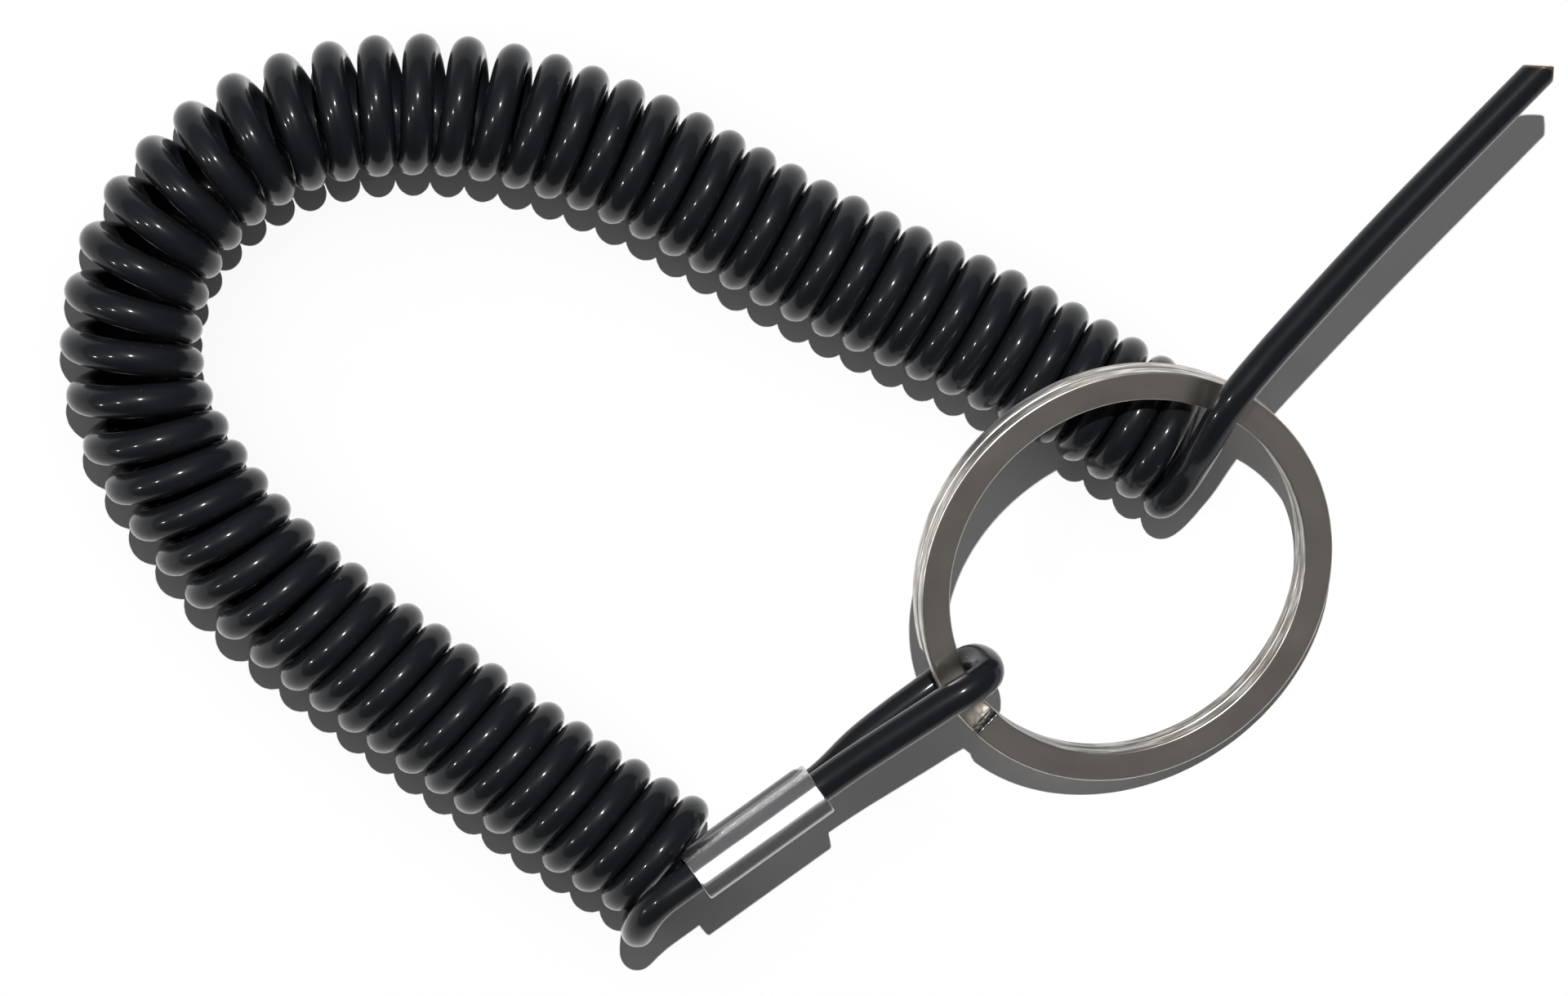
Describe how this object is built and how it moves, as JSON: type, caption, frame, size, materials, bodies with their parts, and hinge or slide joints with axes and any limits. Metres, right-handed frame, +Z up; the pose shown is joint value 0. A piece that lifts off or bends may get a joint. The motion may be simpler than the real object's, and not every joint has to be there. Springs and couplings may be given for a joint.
{
  "type": "coiled key tether",
  "caption": "Tightly coiled solid plastic cord tether with a crimped eye that holds a split key ring, and a free cut tail passed up through the ring.",
  "frame": {"origin": "middle of the lying tether's outline, on the table that it lies on", "axes": "+X to the right along the tether's length, +Y away from the viewer, +Z up from the table"},
  "size_m": [0.1189, 0.073, 0.0181],
  "materials": {
    "ring_nickel": "polished nickel plate on spring steel",
    "ferrule_metal": "bright drawn tube, dull where the jaws pressed it",
    "cord_plastic": "glossy solid polyurethane"
  },
  "bodies": {
    "tether": {"crimp_ferrule": "ferrule_metal", "cord_coil": "cord_plastic", "cord_eye": "cord_plastic", "cord_tail": "cord_plastic"},
    "ring": {"split_ring": "ring_nickel"}
  },
  "joints": [
    {"name": "ring_spin", "type": "hinge", "parent": "tether", "child": "ring", "pos_m": [0.0252, -0.0067, 0.00853], "axis": [0.2909, -0.3066, 0.9063], "continuous": true}
  ]
}
